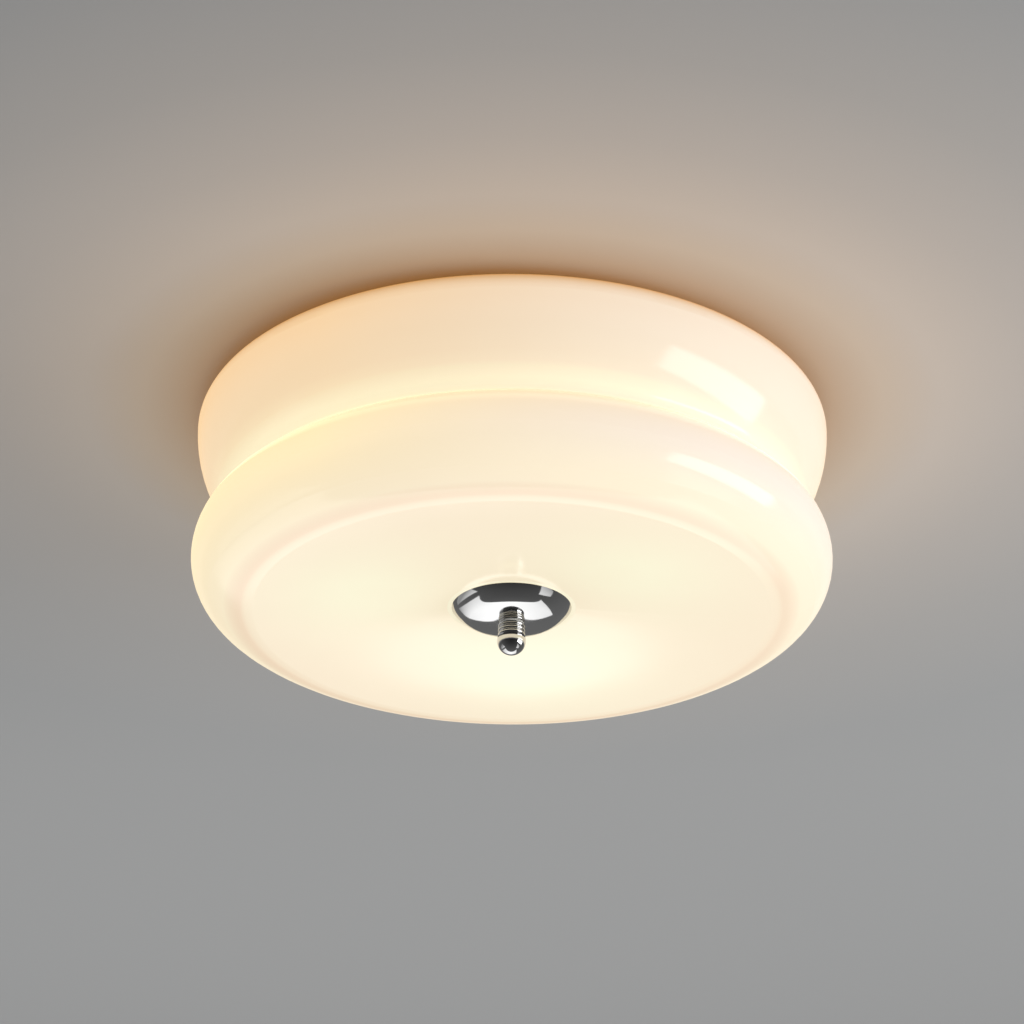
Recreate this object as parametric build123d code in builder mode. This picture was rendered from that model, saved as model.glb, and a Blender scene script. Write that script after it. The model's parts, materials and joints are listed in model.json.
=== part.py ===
"""Flush mount ceiling light with a double-bulge opal glass shade.

Millimetres. The ceiling is the plane Z = 0 and the light hangs below it, so every height is negative.
The Z axis is the centre rod that carries the shade.
"""
from build123d import *
from math import cos, degrees, atan2, hypot, pi, radians, sin, sqrt
import os

# ---- glass shade -------------------------------------------------------------------------------
ceiling_gap = 2.0  # between the ceiling and the glass rim
shade_wall = 4.0
shade_rim_flat = 4.5  # level width of the rim, between its opening and its shoulder
upper_bulge_radius = 199.5
lower_bulge_radius = 200.0
bulge_spacing = 87.9  # between the widest lines of the two bulges
rim_shoulder_radius = 14.0  # arc above the upper bulge's widest line
upper_sweep_radius = 75.0  # arc from that line down into the waist
waist_arc_radius = 6.5
lower_crown_radius = 31.3  # arc from the waist to the lower bulge's widest line
lower_side_radius = 30.5  # arc below that line
lower_side_angle = 51.0
base_arc_radius = 44.4  # arc that turns the side into the base
dish_depth = 6.2  # rise of the base from its lowest ring to the middle
seat_radius = 40.0  # flat middle of the base
shade_hole_radius = 8.2

# ---- centre rod, nuts and washers --------------------------------------------------------------
rod_radius = 5.0
rod_bore_radius = 3.4
rod_top = -0.6
rod_engagement = 7.8  # thread inside the finial
rod_clearance = 0.15  # round the rod, in the washers, bush and cap
thread_clearance = 0.05  # round the rod, in the nuts, strap and finial
nut_across_flats = 17.0
nut_height = 5.0
washer_radius = 13.0
washer_thickness = 1.5
washer_edge = 0.25
rod_end_chamfer = 0.5
bush_flange_radius = 17.0
bush_flange_thickness = 2.5
bush_fit = 0.1

# ---- mounting strap and ceiling pan ------------------------------------------------------------
strap_length = 120.0
strap_width = 22.0
strap_thickness = 2.5
strap_slot_spacing = 70.0
strap_slot_length = 20.0
strap_slot_radius = 2.5
pan_depth = 22.0
pan_sheet = 1.0
pan_lip_gap = 5.0  # to the opening of the shade
pan_lip_width = 5.0
pan_wall_slope = 9.0  # how far the side leans in, from the lip to the floor
pan_bend_radius = 2.5
bead_radius = 128.0  # middle of the pressed stiffening bead
bead_width = 20.0
bead_height = 3.0
bead_side = 4.0

# ---- lampholders and their brackets ------------------------------------------------------------
arm_angles = (-41.0, 79.0, 199.0)
arm_height = -66.0  # height of the lampholder axes
tip_radius = 38.0  # from the rod's axis to the end contact of a fitted bulb
holder_back = 18.0  # holder body behind the bulb's end contact
holder_front = 28.0  # and in front of it
holder_rear_radius = 20.0
holder_front_radius = 17.5
holder_step = 5.0  # where the body has narrowed to its front radius
holder_step_length = 2.0
holder_rim_length = 3.0
holder_rim_height = 1.0
holder_edge = 0.45
holder_web = 3.0  # wall between the terminal chamber and the socket
web_setback = 3.0  # from that wall to the bulb's end contact
chamber_radius = 13.0
socket_shell_radius = 13.4  # bore of the brass screw shell
socket_shell_wall = 0.5
socket_shell_end = 24.0
socket_shell_flange = 1.5
shell_fit = 0.05
leaf_thickness = 0.5
leaf_width = 6.0
leaf_gap = 0.1  # to the end contact of a fitted bulb
leaf_foot = (-9.0, -4.5)  # flat on the web, below the axis
leaf_pad = (-1.5, 2.5)  # flat under the end contact
leaf_tip = (1.0, 6.0)  # off the web and above the axis
leaf_bend_radius = 0.6
bracket_sheet = 1.5
bracket_width = 30.0
bracket_leg_end = 22.0  # below the lampholder axis
bracket_foot_length = 32.0
bracket_bend_radius = 1.0
bracket_corner_radius = 3.0
holder_screw_offset = 11.7  # across and up from the axis
bracket_screw_radius_from_rod = 44.0
bracket_screw_offset = 9.0
small_screw_radius = 1.5
small_screw_head_radius = 2.9
small_screw_head = 1.8
small_screw_length = 9.0
screw_head_taper = 12
screw_end = 3.0  # bare thread beyond the sheet
screw_clearance = 0.15

# ---- bulbs -------------------------------------------------------------------------------------
bulb_cap_radius = 13.05  # crest of the rolled thread
bulb_thread_depth = 0.8
bulb_thread_pitch = 3.629
bulb_thread_turns = 4
bulb_cap_start = 6.0
bulb_cap_end = 25.5
bulb_shoulder_length = 2.0
bulb_contact_radius = 4.4
bulb_contact_edge = 1.0
bulb_contact_height = 1.2
bulb_insulator_radius = 10.4
bulb_insulator_step = 0.8  # beyond the end contact
bulb_insulator_height = 1.8
bulb_collar_end = 42.0
bulb_collar_radius = 18.8  # at the globe
bulb_collar_step = 0.4
bulb_collar_flare = 0.15  # slope where it leaves the cap
bulb_globe_radius = 22.5
bulb_globe_wall = 1.2
bulb_length = 77.5
led_board_thickness = 1.2
led_board_margin = 1.5
led_count = 8
led_ring = 0.6  # of the board's radius
led_size = 2.8
led_height = 0.7

# ---- wiring ------------------------------------------------------------------------------------
lead_radius = 1.7
lead_setback = 12.0  # lead's place behind the bulb's end contact
lead_foot = 9.0  # lower end, above the lampholder axis
lead_height = -13.0  # level run above the pan floor
lead_stop_gap = 1.0  # between a lead's end and the floor of its entry
lead_bend_radius = 6.5
lead_hole_clearance = 0.2
bush_neck_radius = 3.6
lead_bush_flange_radius = 4.8
lead_bush_flange = 1.2
block_width = 36.0
block_depth = 16.0
block_height = 12.0
block_centre_y = 61.0
block_corner_radius = 1.5
block_edge = 0.8
block_pole_spacing = 11.0
block_lead_spacing = 9.0
block_entry_depth = 5.0
terminal_width = 5.4
terminal_floor = 1.0  # under the supply bore
terminal_recess = 0.5  # terminals and their screws lie this far inside the block
terminal_fit = 0.05
supply_bore_radius = 1.6
supply_bore_depth = 9.0
supply_funnel = 0.5
terminal_screw_radius = 1.25
terminal_screw_slot = 0.5
block_screw_gap = 0.5  # between the block's screw and the floor of its hole
earth_x = 44.0
earth_lead_radius = 1.0
earth_lead_fit = 0.05
earth_lead_bend_radius = 5.0
earth_lead_start = 8.0  # from the earth screw towards the block
earth_lead_turns = (15.0, 21.0)
earth_tag_radius = 4.2
earth_tag_sheet = 0.8
earth_neck_length = 4.0
earth_neck_centre = 5.2
earth_barrel_radius = 1.7
earth_barrel_start = 6.0
earth_barrel_length = 6.0
earth_barrel_bore_depth = 5.0
earth_screw_radius = 2.0
earth_screw_head_radius = 3.8
earth_screw_head = 2.2
earth_screw_end = 4.0  # below the pan's sheet

# ---- cap and finial ----------------------------------------------------------------------------
cap_radius = 37.3
cap_depth = 9.8  # from the rim's middle to the flat centre
cap_shoulder_width = 18.0
cap_wall = 1.2
cap_rim_radius = 0.9  # rounded edge
cap_rim_gap = 0.1
cap_ledge_radius = 34.5  # pocket for the gasket
cap_ledge_inner_radius = 27.0
cap_inner_flat = 9.0  # beyond the rod's hole
gasket_thickness = 3.0
gasket_clearance = 0.3
finial_washer_radius = 7.6
finial_washer_thickness = 0.6
finial_ball_radius = 9.0
finial_neck_radius = 8.4
finial_neck_rings = 3
finial_ring_depth = 0.9
finial_run_out = 1.0  # hole beyond the rod's end
finial_ball_drop = 11.2  # from the finial's top face to the ball's centre

# ---- sizes and heights that follow -------------------------------------------------------------
shoulder_r = upper_bulge_radius - rim_shoulder_radius
shade_opening_radius = shoulder_r - shade_rim_flat
pan_lip_radius = shade_opening_radius - pan_lip_gap
upper_bulge_z = -(ceiling_gap + rim_shoulder_radius)
lower_bulge_z = upper_bulge_z - bulge_spacing
base_centre_r = (
    lower_bulge_radius
    - lower_side_radius
    + (lower_side_radius - base_arc_radius) * cos(radians(lower_side_angle))
)
base_centre_z = lower_bulge_z - (lower_side_radius - base_arc_radius) * sin(radians(lower_side_angle))
base_z = base_centre_z - base_arc_radius
seat_z = base_z + dish_depth
seat_inner_z = seat_z + shade_wall
cap_rim_z = seat_z - cap_rim_gap - cap_rim_radius
cap_base_z = cap_rim_z - cap_depth
ledge_z = seat_z - gasket_thickness
finial_top_z = cap_base_z - finial_washer_thickness
ball_z = finial_top_z - finial_ball_drop
rod_end = finial_top_z - rod_engagement
pan_floor_z = -pan_depth  # underside of the pan's floor
pan_floor_top = pan_floor_z + pan_sheet
rod_hole = rod_radius + rod_clearance
thread_hole = rod_radius + thread_clearance
holder_back_radius = tip_radius - holder_back  # from the rod's axis
lead_radius_from_rod = tip_radius - lead_setback
lead_hole = lead_radius + lead_hole_clearance
block_top = pan_floor_top + block_height
terminal_top = block_top - terminal_recess
terminal_foot = terminal_top - supply_bore_depth - terminal_floor
terminal_y = block_centre_y + block_depth / 8
terminal_screw_z = terminal_top - supply_bore_depth / 2
block_screw_place = (block_pole_spacing / 2, block_centre_y)
small_screw_hole = small_screw_radius + screw_clearance

os.makedirs("parts", exist_ok=True)


def save(builder, label):
    """Label a finished piece and write it."""
    builder.part.label = label
    export_step(builder.part, f"parts/{label}.step")


def at(angle, radius, z, across=0.0):
    """Point at a radius along an arm, with an offset to the arm's left."""
    a = radians(angle)
    return (radius * cos(a) - across * sin(a), radius * sin(a) + across * cos(a), z)


def arm_plane(angle):
    """Plane through an arm: X outward along the bulb's axis from its end contact, Y up."""
    a = radians(angle)
    tip = at(angle, tip_radius, arm_height)
    return Plane(origin=tip, x_dir=(cos(a), sin(a), 0), z_dir=(sin(a), -cos(a), 0))


def arm_axis(angle):
    a = radians(angle)
    return Axis(at(angle, tip_radius, arm_height), (cos(a), sin(a), 0))


def outward_plane(angle, radius, height=arm_height):
    """Plane across an arm at a radius, facing outward, with Y up."""
    a = radians(angle)
    centre = at(angle, radius, height)
    return Plane(origin=centre, x_dir=(-sin(a), cos(a), 0), z_dir=(cos(a), sin(a), 0))


def ring(inner, outer, bottom, top):
    """Plain washer on the rod's axis."""
    with BuildPart() as piece:
        with BuildSketch(Plane.XY.offset(bottom)):
            Circle(outer)
            Circle(inner, mode=Mode.SUBTRACT)
        extrude(amount=top - bottom)
        chamfer(piece.edges().filter_by(GeomType.CIRCLE), min(washer_edge, (top - bottom) / 4))
    return piece


def hex_nut(bottom):
    """Thin hexagon nut on the rod's axis, its corners turned off."""
    corner = nut_across_flats / sqrt(3)
    with BuildPart() as nut:
        with BuildSketch(Plane.XY.offset(bottom)):
            RegularPolygon(corner, 6)
        extrude(amount=nut_height)
        with BuildSketch(Plane.XZ):
            with Locations((0, bottom + nut_height / 2)):
                Rectangle(2 * corner, nut_height)
            turned = vertices().group_by(Axis.X)[-1]
            chamfer(turned, length=nut_height / 5, length2=corner - nut_across_flats / 2)
            split(bisect_by=Plane.YZ)
        revolve(axis=Axis.Z, mode=Mode.INTERSECT)
        with BuildSketch(Plane.XY.offset(bottom)):
            Circle(thread_hole)
        extrude(amount=nut_height, mode=Mode.SUBTRACT)
    return nut


# ---- glass shade -------------------------------------------------------------------------------
upper_centre = (upper_bulge_radius - upper_sweep_radius, upper_bulge_z)
crown_centre = (lower_bulge_radius - lower_crown_radius, lower_bulge_z)
side_centre = (lower_bulge_radius - lower_side_radius, lower_bulge_z)


def touching_centre(a, radius_a, b, radius_b):
    """Outer one of the two points that lie radius_a from a and radius_b from b."""
    span = hypot(b[0] - a[0], b[1] - a[1])
    along = (radius_a**2 - radius_b**2 + span**2) / (2 * span)
    aside = sqrt(radius_a**2 - along**2)
    u = ((b[0] - a[0]) / span, (b[1] - a[1]) / span)
    return (a[0] + along * u[0] - aside * u[1], a[1] + along * u[1] + aside * u[0])


def bearing(a, b):
    """Direction from a to b in degrees."""
    return degrees(atan2(b[1] - a[1], b[0] - a[0]))


waist_centre = touching_centre(
    upper_centre, upper_sweep_radius + waist_arc_radius, crown_centre, lower_crown_radius + waist_arc_radius
)
into_waist = bearing(upper_centre, waist_centre)
out_of_waist = bearing(crown_centre, waist_centre)

with BuildPart() as glass_shade:
    with BuildSketch(Plane.XZ):
        with BuildLine():
            Line((shade_opening_radius, -ceiling_gap), (shoulder_r, -ceiling_gap))
            CenterArc((shoulder_r, upper_bulge_z), rim_shoulder_radius, 90, -90)
            CenterArc(upper_centre, upper_sweep_radius, 0, into_waist)
            CenterArc(waist_centre, waist_arc_radius, 180 + into_waist, out_of_waist - into_waist)
            CenterArc(crown_centre, lower_crown_radius, out_of_waist, -out_of_waist)
            CenterArc(side_centre, lower_side_radius, 0, -lower_side_angle)
            CenterArc(
                (base_centre_r, base_centre_z), base_arc_radius, -lower_side_angle, lower_side_angle - 90
            )
            TangentArc((base_centre_r, base_z), (seat_radius, seat_z), tangent=(-1, 0))
            Line((seat_radius, seat_z), (shade_hole_radius, seat_z))
            offset(amount=shade_wall, side=Side.RIGHT)
        make_face()
    revolve(axis=Axis.Z)
save(glass_shade, "glass_shade")

# ---- mounting strap, rod and pan ---------------------------------------------------------------
with BuildPart() as mounting_strap:
    with BuildSketch(Plane.XY.offset(-strap_thickness)):
        SlotOverall(strap_length, strap_width)
        Circle(thread_hole, mode=Mode.SUBTRACT)
        with Locations((-strap_slot_spacing / 2, 0), (strap_slot_spacing / 2, 0)):
            SlotOverall(strap_slot_length, 2 * strap_slot_radius, mode=Mode.SUBTRACT)
    extrude(amount=strap_thickness)
save(mounting_strap, "mounting_strap")

with BuildPart() as centre_rod:
    with BuildSketch(Plane.XY.offset(rod_end)):
        Circle(rod_radius)
        Circle(rod_bore_radius, mode=Mode.SUBTRACT)
    extrude(amount=rod_top - rod_end)
    rod_edges = centre_rod.edges().filter_by(GeomType.CIRCLE).sort_by(SortBy.RADIUS)[-2:]
    chamfer(rod_edges, rod_end_chamfer)
save(centre_rod, "centre_rod")

save(hex_nut(-strap_thickness - nut_height), "lock_nut")

with BuildPart() as ceiling_pan:
    with BuildSketch(Plane.XZ):
        with BuildLine():
            wall_foot = pan_lip_radius - pan_lip_width - pan_wall_slope
            bead_floor = pan_floor_z + bead_height
            bead_in = bead_radius - bead_width / 2
            bead_out = bead_radius + bead_width / 2
            FilletPolyline(
                (rod_hole, pan_floor_z),
                (bead_in, pan_floor_z),
                (bead_in + bead_side, bead_floor),
                (bead_out - bead_side, bead_floor),
                (bead_out, pan_floor_z),
                (wall_foot, pan_floor_z),
                (pan_lip_radius - pan_lip_width, -pan_sheet),
                (pan_lip_radius, -pan_sheet),
                radius=pan_bend_radius,
            )
            offset(amount=pan_sheet, side=Side.LEFT)
        make_face()
    revolve(axis=Axis.Z)
    with BuildSketch(Plane.XY.offset(pan_floor_z)):
        for angle in arm_angles:
            with Locations(at(angle, lead_radius_from_rod, 0)[:2]):
                Circle(bush_neck_radius)
            for side in (-bracket_screw_offset, bracket_screw_offset):
                with Locations(at(angle, bracket_screw_radius_from_rod, 0, side)[:2]):
                    Circle(small_screw_hole)
        with Locations(block_screw_place):
            Circle(small_screw_hole)
        with Locations((earth_x, block_centre_y)):
            Circle(earth_screw_radius + screw_clearance)
    extrude(amount=pan_sheet, mode=Mode.SUBTRACT)
save(ceiling_pan, "ceiling_pan")

save(ring(rod_hole, washer_radius, pan_floor_z - washer_thickness, pan_floor_z), "pan_washer")
save(hex_nut(pan_floor_z - washer_thickness - nut_height), "pan_nut")


# ---- screws ------------------------------------------------------------------------------------
def screw(head_plane, radius, head_radius, head, length):
    """Pan-head screw with a straight slot: head outside the plane, shank behind it."""
    with BuildPart() as piece:
        with BuildSketch(head_plane):
            Circle(head_radius)
        extrude(amount=head, taper=screw_head_taper)
        with BuildSketch(head_plane.offset(head)):
            Rectangle(2 * head_radius, head / 3)
        extrude(amount=-head / 2, mode=Mode.SUBTRACT)
        with BuildSketch(head_plane):
            Circle(radius)
        extrude(amount=-length)
    return piece.part


def small_screw(head_plane, length):
    return screw(head_plane, small_screw_radius, small_screw_head_radius, small_screw_head, length)


bracket_underside = pan_floor_z - bracket_sheet
bracket_screw_places = [
    at(angle, bracket_screw_radius_from_rod, bracket_underside, side)
    for angle in arm_angles
    for side in (-bracket_screw_offset, bracket_screw_offset)
]
bracket_screw_length = bracket_sheet + pan_sheet + screw_end
bracket_screw_set = [
    small_screw(Plane(origin=place, z_dir=(0, 0, -1)), bracket_screw_length) for place in bracket_screw_places
]
with BuildPart() as bracket_screws:
    add(bracket_screw_set)
save(bracket_screws, "bracket_screws")


def holder_screw(angle, side):
    """Screw through a bracket's leg into the back of its lampholder."""
    leg = outward_plane(angle, holder_back_radius - bracket_sheet)
    place = leg.from_local_coords((side * holder_screw_offset, side * holder_screw_offset, 0))
    return small_screw(Plane(origin=place, z_dir=-leg.z_dir), small_screw_length)


holder_screw_set = [holder_screw(angle, side) for angle in arm_angles for side in (-1, 1)]
with BuildPart() as holder_screws:
    add(holder_screw_set)
save(holder_screws, "holder_screws")


# ---- one arm: bracket, lampholder and bulb -----------------------------------------------------
def make_bracket(angle):
    """Angle bracket: leg behind the lampholder, foot under the pan floor."""
    with BuildPart() as bracket:
        with BuildSketch(arm_plane(angle)):
            with BuildLine():
                FilletPolyline(
                    (-holder_back, -bracket_leg_end),
                    (-holder_back, bracket_underside - arm_height),
                    (-holder_back + bracket_foot_length, bracket_underside - arm_height),
                    radius=bracket_bend_radius,
                )
                offset(amount=bracket_sheet, side=Side.LEFT)
            make_face()
        extrude(amount=bracket_width / 2, both=True)
        corners = bracket.edges().filter_by(lambda e: abs(e.length - bracket_sheet) < 0.001)
        fillet(corners, bracket_corner_radius)
        with BuildSketch(outward_plane(angle, holder_back_radius)):
            Circle(chamber_radius / 2)
            with Locations(*[(s * holder_screw_offset, s * holder_screw_offset) for s in (-1, 1)]):
                Circle(small_screw_hole)
        extrude(amount=-bracket_sheet, mode=Mode.SUBTRACT)
        with BuildSketch(Plane.XY.offset(bracket_underside)):
            with Locations(at(angle, lead_radius_from_rod, 0)[:2]):
                Circle(bush_neck_radius)
            for side in (-bracket_screw_offset, bracket_screw_offset):
                with Locations(at(angle, bracket_screw_radius_from_rod, 0, side)[:2]):
                    Circle(small_screw_hole)
        extrude(amount=bracket_sheet, mode=Mode.SUBTRACT)
    return bracket


def make_holder(angle):
    """Lampholder body: a socket in front, a terminal chamber behind a web."""
    socket_radius = socket_shell_radius + socket_shell_wall + shell_fit
    web_face = -web_setback
    with BuildPart() as holder:
        with BuildSketch(arm_plane(angle)):
            with BuildLine():
                Polyline(
                    (-holder_back, chamber_radius),
                    (-holder_back, holder_rear_radius),
                    (holder_step - holder_step_length, holder_rear_radius),
                    (holder_step, holder_front_radius),
                    (holder_front - holder_rim_length, holder_front_radius),
                    (holder_front - holder_rim_length, holder_front_radius + holder_rim_height),
                    (holder_front, holder_front_radius + holder_rim_height),
                    (holder_front, socket_radius),
                    (web_face, socket_radius),
                    (web_face, 0),
                    (web_face - holder_web, 0),
                    (web_face - holder_web, chamber_radius),
                    close=True,
                )
            make_face()
        revolve(axis=arm_axis(angle))
        round_edges = holder.edges().filter_by(GeomType.CIRCLE)
        fillet(round_edges.filter_by(lambda e: e.radius > holder_front_radius), holder_edge)
        with BuildSketch(Plane.XY.offset(arm_height)):
            with Locations(at(angle, lead_radius_from_rod, 0)[:2]):
                Circle(lead_hole)
        extrude(amount=holder_rear_radius, mode=Mode.SUBTRACT)
        with BuildSketch(outward_plane(angle, holder_back_radius)):
            with Locations(*[(s * holder_screw_offset, s * holder_screw_offset) for s in (-1, 1)]):
                Circle(small_screw_hole)
        extrude(amount=small_screw_length, mode=Mode.SUBTRACT)
    return holder


def make_screw_shell(angle):
    """Brass screw shell standing on the web."""
    with BuildPart() as shell:
        with BuildSketch(arm_plane(angle)):
            with BuildLine():
                Polyline(
                    (-web_setback, socket_shell_radius - socket_shell_flange),
                    (-web_setback, socket_shell_radius + socket_shell_wall),
                    (socket_shell_end, socket_shell_radius + socket_shell_wall),
                    (socket_shell_end, socket_shell_radius),
                    (-web_setback + socket_shell_wall, socket_shell_radius),
                    (-web_setback + socket_shell_wall, socket_shell_radius - socket_shell_flange),
                    close=True,
                )
            make_face()
        revolve(axis=arm_axis(angle))
    return shell


def make_leaf(angle):
    """Sprung contact leaf: riveted flat to the web, bent up to the bulb's end contact."""
    base = -web_setback
    pad = -leaf_thickness - leaf_gap
    with BuildPart() as leaf:
        with BuildSketch(arm_plane(angle)):
            with BuildLine():
                FilletPolyline(
                    (base, leaf_foot[0]),
                    (base, leaf_foot[1]),
                    (pad, leaf_pad[0]),
                    (pad, leaf_pad[1]),
                    (base + leaf_tip[0], leaf_tip[1]),
                    radius=leaf_bend_radius,
                )
                offset(amount=leaf_thickness, side=Side.RIGHT)
            make_face()
        extrude(amount=leaf_width / 2, both=True)
    return leaf


def make_bulb_contact(angle):
    """End contact and the insulator that carries it."""
    with BuildPart() as contact:
        with BuildSketch(arm_plane(angle)):
            with BuildLine():
                Polyline(
                    (0, 0),
                    (0, bulb_contact_radius - bulb_contact_edge),
                    (bulb_contact_height, bulb_contact_radius),
                    (bulb_insulator_height, bulb_contact_radius + bulb_insulator_step),
                    (bulb_cap_start, bulb_insulator_radius),
                    (bulb_cap_start, 0),
                    close=True,
                )
            make_face()
        revolve(axis=arm_axis(angle))
    return contact


def make_bulb_cap(angle):
    """Screw cap: rounded thread turns between a shoulder and a plain skirt."""
    root = bulb_cap_radius - bulb_thread_depth
    first = bulb_cap_start + bulb_shoulder_length
    with BuildPart() as cap:
        with BuildSketch(arm_plane(angle)):
            with BuildLine():
                Polyline((first, root), (bulb_cap_start, bulb_insulator_radius), (bulb_cap_start, 0))
                for turn in range(bulb_thread_turns):
                    start = first + turn * bulb_thread_pitch
                    ThreePointArc(
                        (start, root),
                        (start + bulb_thread_pitch / 2, bulb_cap_radius),
                        (start + bulb_thread_pitch, root),
                    )
                end = first + bulb_thread_turns * bulb_thread_pitch
                Polyline((end, root), (bulb_cap_end, root), (bulb_cap_end, 0), (bulb_cap_start, 0))
            make_face()
        revolve(axis=arm_axis(angle))
    return cap


globe_centre = bulb_length - bulb_globe_radius
collar_reach = sqrt((bulb_globe_radius - bulb_globe_wall) ** 2 - (globe_centre - bulb_collar_end) ** 2)


def make_bulb_collar(angle):
    """Plastic collar that flares from the screw cap to the globe."""
    collar_foot = bulb_cap_radius - bulb_thread_depth + bulb_collar_step
    with BuildPart() as collar:
        with BuildSketch(arm_plane(angle)):
            with BuildLine():
                Line((bulb_cap_end, 0), (bulb_cap_end, collar_foot))
                flare = TangentArc(
                    (bulb_cap_end, collar_foot),
                    (bulb_collar_end, bulb_collar_radius),
                    tangent=(1, bulb_collar_flare),
                )
                Polyline(flare @ 1, (bulb_collar_end, 0), (bulb_cap_end, 0))
            make_face()
        revolve(axis=arm_axis(angle))
    return collar


def make_led_board(angle):
    """Round board on the collar with a ring of square emitters."""
    with BuildPart() as board:
        with BuildSketch(outward_plane(angle, tip_radius + bulb_collar_end)):
            Circle(collar_reach - led_board_margin)
        extrude(amount=led_board_thickness)
        with BuildSketch(outward_plane(angle, tip_radius + bulb_collar_end + led_board_thickness)):
            with PolarLocations(collar_reach * led_ring, led_count):
                Rectangle(led_size, led_size)
        extrude(amount=led_height)
    return board


def make_globe(angle):
    """Hollow diffuser globe, cut flat where it sits on the collar."""
    with BuildPart() as globe:
        with BuildSketch(arm_plane(angle)):
            with Locations((globe_centre, 0)):
                Circle(bulb_globe_radius)
                Circle(bulb_globe_radius - bulb_globe_wall, mode=Mode.SUBTRACT)
            with Locations((bulb_collar_end, 0)):
                Rectangle(2 * bulb_length, bulb_length, align=(Align.MIN, Align.MIN), mode=Mode.INTERSECT)
        revolve(axis=arm_axis(angle))
    return globe


for number, angle in enumerate(arm_angles, start=1):
    save(make_bracket(angle), f"holder_bracket_{number}")
    save(make_holder(angle), f"lampholder_body_{number}")
    save(make_screw_shell(angle), f"lampholder_shell_{number}")
    save(make_leaf(angle), f"contact_leaf_{number}")
    save(make_bulb_contact(angle), f"bulb_contact_{number}")
    save(make_bulb_cap(angle), f"bulb_cap_{number}")
    save(make_bulb_collar(angle), f"bulb_collar_{number}")
    save(make_led_board(angle), f"led_board_{number}")
    save(make_globe(angle), f"bulb_globe_{number}")


# ---- wiring ------------------------------------------------------------------------------------
with BuildPart() as lead_bushes:
    for angle in arm_angles:
        centre = at(angle, lead_radius_from_rod, 0)[:2]
        for bottom, height, radius in (
            (bracket_underside - lead_bush_flange, lead_bush_flange, lead_bush_flange_radius),
            (bracket_underside, bracket_sheet + pan_sheet, bush_neck_radius),
            (pan_floor_top, lead_bush_flange, lead_bush_flange_radius),
        ):
            with BuildSketch(Plane.XY.offset(bottom)):
                with Locations(centre):
                    Circle(radius)
                    Circle(lead_hole, mode=Mode.SUBTRACT)
            extrude(amount=height)
save(lead_bushes, "lead_bushes")

block_face_y = block_centre_y - block_depth / 2
entry_y = block_face_y + block_entry_depth - lead_stop_gap
# each lead's level run, from its bush to the block: hand-set turning points, then its own entry
lead_turns = (
    ((24.0, 12.0), (block_lead_spacing, 40.0)),
    ((0.0, 43.0),),
    ((-24.0, 16.0), (-block_lead_spacing, 40.0)),
)
lead_entries = (block_lead_spacing, 0.0, -block_lead_spacing)

for number, angle in enumerate(arm_angles, start=1):
    x, y, _ = at(angle, lead_radius_from_rod, 0)
    turns = lead_turns[number - 1]
    route = [(x, y, arm_height + lead_foot), (x, y, lead_height)]
    route += [(turn_x, turn_y, lead_height) for turn_x, turn_y in turns]
    route += [(lead_entries[number - 1], entry_y, lead_height)]
    bends = [lead_bend_radius] + [2 * lead_bend_radius] * len(turns)
    with BuildPart() as lead:
        with BuildLine() as path:
            FilletPolyline(*route, radius=bends)
        with BuildSketch(Plane(origin=route[0], z_dir=(0, 0, 1))):
            Circle(lead_radius)
        sweep()
    ratio = lead.part.volume / (pi * lead_radius**2 * path.wires()[0].length)
    print(f"lead {number}: radii {bends}, volume over section times length {ratio:.4f}")
    save(lead, f"holder_lead_{number}")

terminals = (
    ("terminal_live", block_pole_spacing),
    ("terminal_neutral", -block_pole_spacing),
    ("terminal_earth", 0.0),
)
terminal_places = [(x, terminal_y) for _, x in terminals]
pocket_width = terminal_width + 2 * terminal_fit
# plane of the terminal screws' heads, seen from +Y: its X runs along -X of the light
screw_face_y = block_centre_y + block_depth / 2
screw_face = Plane(origin=(0, screw_face_y, terminal_screw_z), z_dir=(0, 1, 0), x_dir=(-1, 0, 0))
terminal_screw_places = [(-x, 0) for _, x in terminals]
terminal_screw_reach = screw_face_y - terminal_y - supply_bore_radius
lead_face = Plane(origin=(0, block_face_y, lead_height), z_dir=(0, -1, 0), x_dir=(1, 0, 0))
earth_z = pan_floor_top + earth_barrel_radius + lead_hole_clearance
earth_entry_y = block_face_y + block_depth / 4
earth_face = Plane(origin=(block_width / 2, earth_entry_y, earth_z), z_dir=(1, 0, 0), x_dir=(0, 1, 0))

with BuildPart() as terminal_block:
    with BuildSketch(Plane.XY.offset(pan_floor_top)):
        with Locations((0, block_centre_y)):
            RectangleRounded(block_width, block_depth, block_corner_radius)
    extrude(amount=block_height)
    chamfer(terminal_block.faces().sort_by(Axis.Z)[-1].edges(), block_edge)
    with BuildSketch(Plane.XY.offset(terminal_foot)):
        with Locations(*terminal_places):
            Rectangle(pocket_width, pocket_width)
    extrude(amount=block_top - terminal_foot, mode=Mode.SUBTRACT)
    with BuildSketch(screw_face):
        with Locations(*terminal_screw_places):
            Circle(terminal_screw_radius + screw_clearance)
    extrude(amount=-terminal_screw_reach, mode=Mode.SUBTRACT)
    with BuildSketch(lead_face):
        with Locations(*[(x, 0) for x in lead_entries]):
            Circle(lead_hole)
    extrude(amount=-block_entry_depth, mode=Mode.SUBTRACT)
    with BuildSketch(earth_face):
        Circle(earth_lead_radius + lead_hole_clearance)
    extrude(amount=-block_entry_depth, mode=Mode.SUBTRACT)
    with BuildSketch(Plane.XY.offset(pan_floor_top)):
        with Locations(block_screw_place):
            Circle(small_screw_hole)
    extrude(amount=block_height / 2, mode=Mode.SUBTRACT)
save(terminal_block, "terminal_block")

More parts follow.
